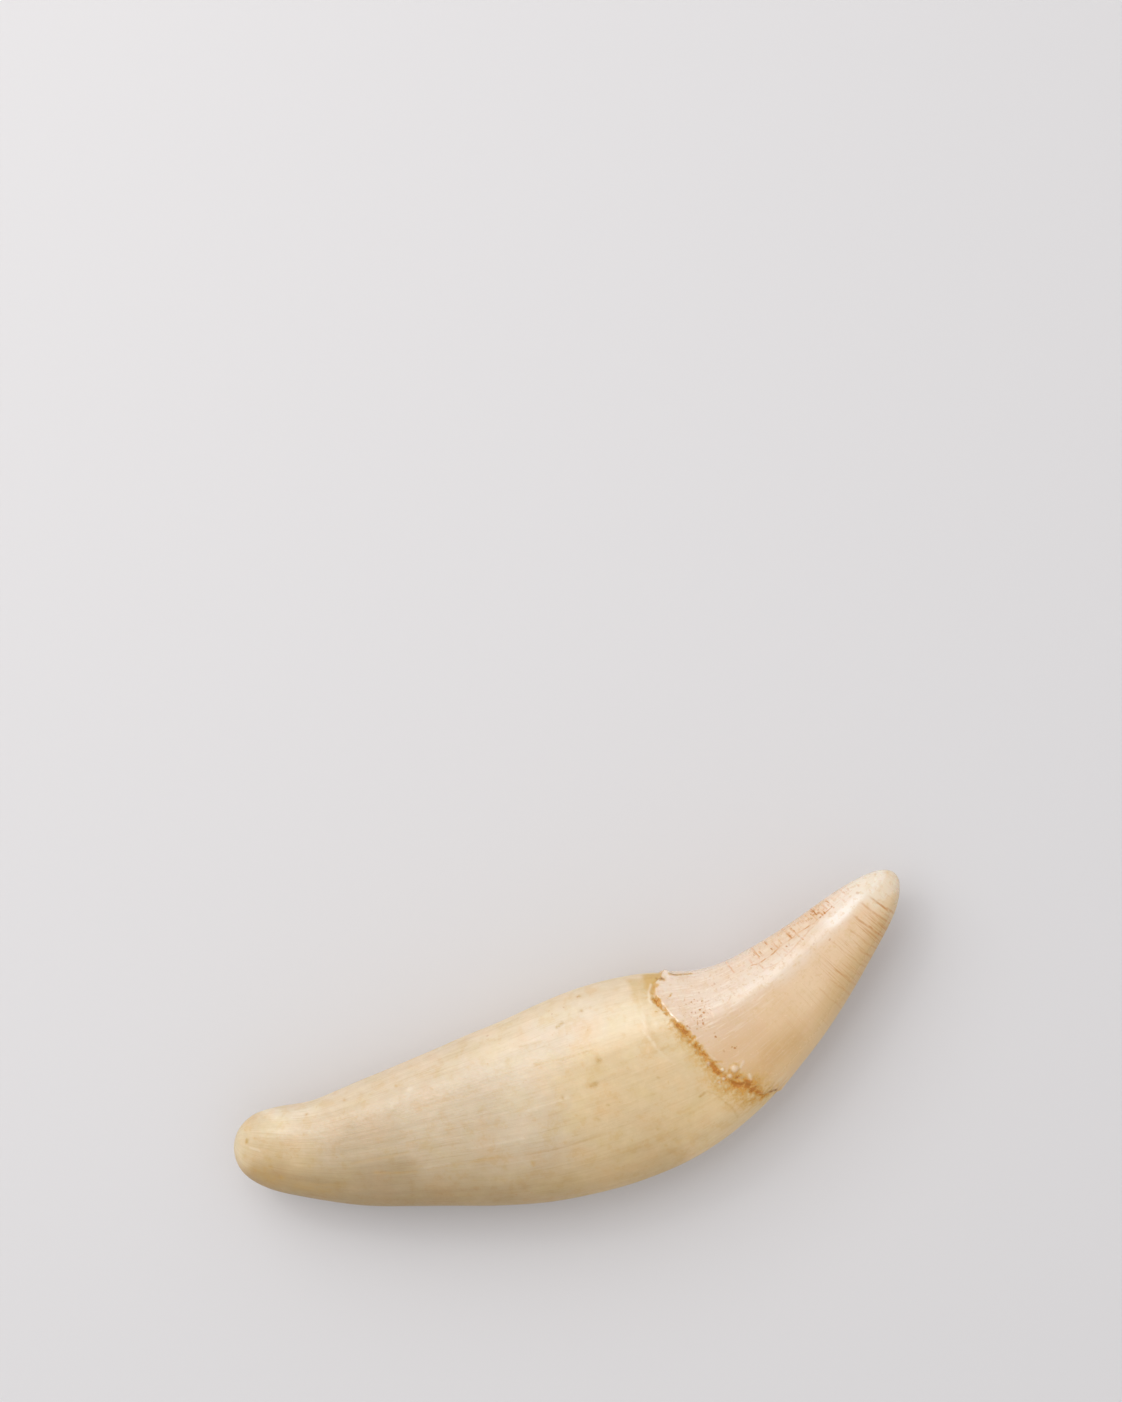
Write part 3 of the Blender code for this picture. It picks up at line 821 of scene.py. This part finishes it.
class Brush:  # adds nodes to one material

    def __init__(self, name):
        self.material = bpy.data.materials.new(name)
        self.material.use_nodes = True
        self.tree = self.material.node_tree

    def feed(self, node, inputs):  # inputs by name
        for name, value in inputs.items():
            if isinstance(value, Value):
                self.tree.links.new(value.socket, node.inputs[name])
            else:
                node.inputs[name].default_value = value

    def node(self, kind, inputs, output=0, **settings):  # inputs by name, or in their order
        node = self.tree.nodes.new("ShaderNode" + kind)
        for name, value in settings.items():
            setattr(node, name, value)
        self.feed(node, inputs if isinstance(inputs, dict) else dict(enumerate(inputs)))
        return Value(self, node.outputs[output])

    def coat(self, inputs):  # gives the material its surface
        self.feed(self.tree.nodes["Principled BSDF"], inputs)

    def maths(self, operation, *values):
        return self.node("Math", values, operation=operation)

    def higher(self, first, second):
        return self.maths("MAXIMUM", first, second)

    def vectorMaths(self, operation, first, second, output="Vector"):
        return self.node("VectorMath", (first, second), output, operation=operation)

    def stretched(self, vector, along, across):
        return self.vectorMaths("MULTIPLY", vector, (along, across, across))

    def stored(self, name, output="Fac"):  # what the mesh holds under that name
        return self.node("Attribute", (), output, attribute_name=name)

    def noise(self, vector, scale, detail=2.0, roughness=0.5, output="Fac"):
        inputs = dict(Vector=vector, Scale=scale, Detail=detail, Roughness=roughness)
        return self.node("TexNoise", inputs, output)

    def traced(self, value, points):  # the height of a line through the points, read at value
        at, heights = zip(*points)
        curve = self.node("FloatCurve", (1.0, self.node("MapRange", (value, min(at), max(at), 0.0, 1.0))))
        mapping = curve.socket.node.mapping
        line = mapping.curves[0].points
        low, high = min(heights), max(heights)
        for _ in range(len(points) - 2):
            line.new(0.5, 0.5)
        for spot, x, y in zip(line, at, heights):
            spot.location = ((x - min(at)) / (max(at) - min(at)), (y - low) / (high - low))
            spot.handle_type = "VECTOR"
        mapping.update()
        return curve * (high - low) + low

    def mixed(self, factor, below, above, blend="MIX"):
        return self.node("MixRGB", (factor, below, above), blend_type=blend)

    def layered(self, colour, finish, layers):  # lays named colours of a finish over a colour in turn
        for name, amount in layers:
            colour = self.mixed(amount, colour, paint(finish[name]))
        return colour

    def patched(self, colour, patches, along, turn):  # lays soft-edged patches over a colour
        for start, end, fade, low, high, blur, patchColour, strength in patches:
            patch = along.window(start, end, fade) * turn.window(low, high, blur) * strength
            colour = self.mixed(patch, colour, paint(patchColour))
        return colour


class ToothBrush(Brush):  # a brush that knows its place on the tooth

    def __init__(self, form):
        super().__init__("tooth_surface")
        self.form = form
        self.place = self.stored("toothPlace", "Vector")
        self.ring = self.stored("ringPlace", "Vector")
        along, side, up = (self.node("SeparateXYZ", (self.ring,), axis) for axis in "XYZ")
        turn = self.maths("DEGREES", self.maths("ARCTAN2", up, side))
        self.noises = {name: self.noise(self.place, *values) for name, values in surfaceNoises.items()}
        for name, (alongScale, roundScale, *values) in lengthwiseNoises.items():
            self.noises[name] = self.noise(self.stretched(self.ring, alongScale, roundScale), 1.0, *values)

        # Shifted a little so that nothing runs dead straight.
        self.along = along.swayed(self.noises["cloud"], 0.12)
        self.turn = turn.swayed(self.noises["cloud"], 1.5)

        # At the apex and the tip all turns meet in a point, so the tones there stop following the turn.
        nearTip = form.length - polesFade["tip"]
        offPoles = along.between(*polesFade["apex"]) * along.between(form.length, nearTip)
        self.fromHollow = (abs(self.turn) - 85) * offPoles + 85  # the same on both flanks
        self.side = side * offPoles


def rootColour(brush):  # cream, mottled, with long soft streaks, darker towards the bowed side
    along, fromHollow, noises = brush.along, brush.fromHollow, brush.noises
    mottle = noises["mottle"]
    colour = brush.layered(paint(rootFinish["cream"]), rootFinish, (
        ("tan", (brush.side + mottle * 0.5).between(1.0, 0.1)),
        ("shade", (brush.side + mottle * 0.4).between(0.1, -0.6)),
    ))
    drift = along.swayed(mottle, rootFinish["drift"])
    swing = fromHollow.swayed(noises["hue"], rootFinish["swing"])
    colour = brush.patched(colour, rootPatches, drift, swing)
    colour = brush.patched(colour, rootSpots, along, fromHollow)

    # Painted highlight: a bright strip above the crest near the crown, where the light catches the flank.
    start, full, fade, end = rootFinish["highlightTurn"]
    crest = fromHollow.swayed(noises["streak"], rootFinish["highlightSwing"])
    paintedHighlight = drift.window(*rootFinish["highlightAlong"]) * fromHollow.between(start, full)
    paintedHighlight = paintedHighlight * crest.between(fade, end) * rootFinish["highlightStrength"]
    colour = brush.layered(colour, rootFinish, [("paintedHighlight", paintedHighlight)])

    # Threads are faint in pale mottling and near the crown.
    threaded = mottle.between(0.64, 0.42, 0.35, 1.0) * along.between(22, 33, 1.0, 0.35)
    for name, start, full, strength, tint in rootTints:
        amount = noises[name].between(start, full, 0, strength)
        if name == "thread":
            amount = amount * threaded
        colour = brush.mixed(amount, colour, (*tint, 1.0), "MULTIPLY")
    return colour


def growthRings(brush, unevenTurn):  # round the bowed side near the tip, dying away towards the crest
    wobble = brush.noise(brush.stretched(brush.ring, 0.3, 1.6), 1.5)
    level = (brush.along + brush.side * 0.25).swayed(wobble, 0.3)
    broken = brush.noise(brush.stretched(brush.ring, 2.5, 3.0), 1.3).between(0.3, 0.6, 0.4, 1.0)
    rings = 0.0
    for at, start, width, strength in growthLines:
        line = abs(level - at).between(width * 1.9, width * 0.4)
        line = line * brush.fromHollow.between(start, start + 10, 0, 0.75 * strength)
        line = line * brush.fromHollow.between(start + 10, start + 60, 1.0, 1.33)
        rings = brush.higher(rings, line)
    fine = brush.noise(brush.stretched(brush.ring, 9.0, 0.5), 1.0, 3.0, 0.7).between(0.54, 0.66)
    fine = fine * unevenTurn.between(70, 116) * brush.along.between(44, 56) * 0.5
    return rings * broken * 0.65 + fine


def fineCracks(brush):  # along the hollow side: two lengthwise and a ladder of short cross ones
    along, turn = brush.along, brush.turn
    shake = brush.noise(brush.place, 1.8)
    shaken = turn.swayed(shake, 3.0)
    cracks = 0.0
    for places, start, end, strength in longCracks:
        line = abs(shaken - brush.traced(along, places)).between(1.7, 0.4)
        cracks = brush.higher(cracks, line * along.window(start, end, 0.3) * strength)
    level = along.swayed(shake, 0.22)
    for at, first, final, strength in crossCracks:
        line = abs(level - at).between(0.105, 0.025)
        cracks = brush.higher(cracks, line * shaken.window(first, final, 3) * strength)
    tick = brush.noise(brush.stretched(brush.ring, 6.0, 0.6), 1.0)
    ticks = abs(tick - 0.5).between(0.045, 0.01) * turn.window(8, 33, 6) * along.window(48.5, 57.5, 1.5)
    sparse = brush.noise(brush.stretched(brush.ring, 1.5, 6.0), 1.5).between(0.44, 0.54)
    patchy = brush.noise(brush.place, 1.1).between(0.38, 0.6, 0.25, 1.0)
    return brush.higher(cracks, ticks * sparse * 0.95) * patchy


def crownColour(brush, cracks):  # pale above the crest, peach below it, tan on the bowed side
    along, noises = brush.along, brush.noises
    cloud = noises["cloud"]
    unevenTurn = brush.fromHollow.swayed(cloud, crownFinish["swing"])
    colour = brush.layered(paint(crownFinish["cream"]), crownFinish, (
        ("pink", cloud.between(0.42, 0.68, 0, 0.5)),
        ("peach", unevenTurn.between(66, 82)),
        ("tan", unevenTurn.between(94, 146)),
    ))
    # Patches of tone, with painted highlights along the crest and near the tip.
    colour = brush.patched(colour, crownPatchesAndHighlights, along, unevenTurn)

    # Streaks are strongest near the base, above the crest.
    nearBase = along.between(52, 42, 0.25, 1.0) * cloud.between(0.38, 0.6, 0.4, 1.1)
    nearBase = nearBase * brush.fromHollow.between(92, 70, 0.3, 1.0)
    for name, start, full, strength, tone in crownGlazes:
        amount = noises[name].between(start, full, 0, strength)
        if name in lengthwiseNoises:
            amount = amount * nearBase
        colour = brush.mixed(amount, colour, paint(crownFinish[tone]))

    halo = brush.turn.window(12, 40, 8) * along.window(50.5, 55.5, 1.0)
    halo = halo * brush.noise(brush.place, 1.2).between(0.45, 0.7) * 0.16
    return brush.layered(colour, crownFinish, (
        ("line", growthRings(brush, unevenTurn)),
        ("crack", halo + cracks * 0.92),
        ("crackDeep", cracks.between(0.6, 1.0, 0, 0.5)),
    ))


def freckleStrength(brush, onCrown):
    jitter = brush.noise(brush.place, 5.0, output="Color")
    jitter = brush.vectorMaths("MULTIPLY", jitter, (freckleJitter,) * 3)
    unevenPlace = brush.vectorMaths("ADD", brush.place, jitter)
    single = 0.0
    for at, turn, radius, strength in freckles:
        middle = brush.form.straightPoint(np.array(at), np.radians(turn)) + freckleJitter / 2
        away = brush.vectorMaths("DISTANCE", unevenPlace, middle.tolist(), "Value")
        single = brush.higher(single, away.between(radius * 1.4, radius * 0.4, 0, strength))

    # Pepper dots, strong beside the neck and faint up the crown.
    along, fromHollow = brush.along, brush.fromHollow
    pepper = brush.noise(brush.place, 3.6).between(0.62, 0.69)
    strong = along.window(39.9, 42.2, 0.8) * fromHollow.window(48, 69, 7) * 0.7
    faint = along.window(41.0, 52.0, 2.0) * fromHollow.window(14, 58, 8) * onCrown * 0.25
    return brush.higher(single, pepper * brush.higher(strong, faint)) * 0.8


def finishTooth(tooth, form):
    brush = ToothBrush(form)
    grit, hair, clump = (brush.noises[name] for name in ("grit", "hair", "clump"))

    # Root before the enamel's ragged edge and crown past it, with stains over both.
    edge = brush.stored("edgeDistance")
    onCrown = edge.swayed(clump, 0.9).between(-0.15, 0.15)
    root = rootColour(brush)
    cracks = fineCracks(brush)
    colour = brush.mixed(onCrown, root, crownColour(brush, cracks))
    fleck = grit.between(0.3, 0.62, 0.5, 1.1)
    brown = (brush.stored("brownStain") * fleck).atMost(0.92)
    amber = brush.stored("amberStain") * clump.between(0.3, 0.68, 0.3, 1.6)
    amber = amber * grit.between(0.36, 0.6, 0.6, 1.25)
    colour = brush.layered(colour, stainFinish, (
        # Tan: real specks and fine lines, and the painted shadow strip beside the pale line round the root.
        ("tan", (brush.stored("tanMarkAndShadow") * fleck * 1.15).atMost(0.85)),
        ("gold", amber.between(0.0, 0.45, 0, 0.85)),
        ("amber", amber.between(0.35, 0.9, 0, 0.9)),
        ("amberDeep", amber.between(0.9, 1.5, 0, 0.8)),
        ("pale", (brush.stored("paleMark") * 0.85).atMost(0.9)),
        ("brown", brown),
        ("freckle", freckleStrength(brush, onCrown)),
    ))

    # Satin root, glossy crown, dull where it is stained or cracked.
    satin = grit.between(0.3, 0.7, *rootFinish["roughness"])
    gloss = grit.between(0.3, 0.7, *crownFinish["roughness"])
    gloss = gloss + brush.fromHollow.between(135, 165, 0, crownFinish["bowedDulling"])
    rough = satin + (gloss - satin) * onCrown
    rough = rough + (amber * 0.6).atMost(1.0) * 0.2 + brown * 0.5 + cracks * 0.15

    # Fine relief that the mesh is too coarse for.
    pebbled = brush.along.window(40.2, 41.8, 0.5) * brush.fromHollow.window(56, 70, 5) * 0.05
    relief = grit * 0.010 + hair * edge.between(6, -1, 0.3, 1.0) * 0.014
    relief = relief + clump * (pebbled + amber.between(0.2, 0.8) * 0.06)

    normal = brush.node("Bump", {**reliefScale, "Height": relief})
    brush.coat({"Base Color": colour, "Roughness": rough.atMost(0.9), "Normal": normal, **toothShader})
    tooth.data.materials.append(brush.material)
    print("tooth finished:", len(brush.tree.nodes), "nodes")


# Studio: a pale floor, one broad light from the upper left of the picture, and soft light all round

studio = dict(
    floorSize=1600,
    floorColour=(219, 217, 219),
    floorRoughness=0.7,
    lightTurn=112,  # direction of the light on the floor, in degrees from +X
    lightHeight=52,  # degrees over the floor
    lightDistance=420,
    lightSize=400,
    lightPower=0.82,  # watts
    lightColour=(1.0, 0.985, 0.96),
    glintSize=50,  # small lamp in the same direction that shows only in the gloss
    glintPower=1.9,
    skyColour=(1.0, 1.0, 1.0),
    skyStrength=0.69,
)
cameraView = dict(
    aimX=9.6,  # point of the floor plan in the middle of the picture
    aimY=30.45,
    roll=-22.57,  # turn of the picture over the tooth, in degrees
    frameHeight=115.7,  # what the picture's height takes in at the tooth's middle
    lens=100,
    sensor=36,
)


def makeStudio():
    size = studio["floorSize"] * mm / 2
    corners = [(-size, -size, 0), (size, -size, 0), (size, size, 0), (-size, size, 0)]
    mesh = bpy.data.meshes.new("floor")
    mesh.from_pydata(corners, [], [(0, 1, 2, 3)])
    floor = bpy.data.objects.new("floor", mesh)
    bpy.context.scene.collection.objects.link(floor)
    brush = Brush("floor_paper")
    brush.coat({"Base Color": paint(studio["floorColour"]), "Roughness": studio["floorRoughness"]})
    mesh.materials.append(brush.material)

    turn = math.radians(studio["lightTurn"])
    height = math.radians(studio["lightHeight"])
    away = studio["lightDistance"] * mm
    aside = away * math.cos(height)
    for name, width, power in (("key_light", studio["lightSize"], studio["lightPower"]),
                               ("glint_light", studio["glintSize"], studio["glintPower"])):
        light = bpy.data.lights.new(name, "AREA")
        light.size = width * mm
        light.energy = power
        light.color = studio["lightColour"]
        lamp = bpy.data.objects.new(name, light)
        lamp.location = (aside * math.cos(turn), aside * math.sin(turn), away * math.sin(height))
        lamp.rotation_euler = (math.pi / 2 - height, 0, turn + math.pi / 2)
        bpy.context.scene.collection.objects.link(lamp)
    lamp.visible_diffuse = False  # the last one, the glint

    world = bpy.data.worlds.new("soft_sky")
    world.use_nodes = True
    sky = world.node_tree.nodes["Background"]
    sky.inputs["Color"].default_value = (*studio["skyColour"], 1.0)
    sky.inputs["Strength"].default_value = studio["skyStrength"]
    bpy.context.scene.world = world
    bpy.context.scene.view_settings.view_transform = "Standard"
    print("studio lit")


def makeCamera():
    data = bpy.data.cameras.new("camera")
    data.sensor_fit = "VERTICAL"
    data.sensor_height = cameraView["sensor"]
    data.lens = cameraView["lens"]
    data.clip_start = 0.01
    camera = bpy.data.objects.new("camera", data)
    low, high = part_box("tooth")
    reach = cameraView["frameHeight"] * mm * cameraView["lens"] / cameraView["sensor"]
    camera.location = (cameraView["aimX"] * mm, cameraView["aimY"] * mm, (low.z + high.z) / 2 + reach)
    camera.rotation_euler = (0, 0, math.radians(cameraView["roll"]))
    bpy.context.scene.collection.objects.link(camera)
    bpy.context.scene.camera = camera
    print("camera set", round(reach / mm), "mm over the tooth's middle")


makeCamera()
tooth, form = makeTooth()
finishTooth(tooth, form)
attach(tooth, "root")
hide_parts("tooth")
makeStudio()
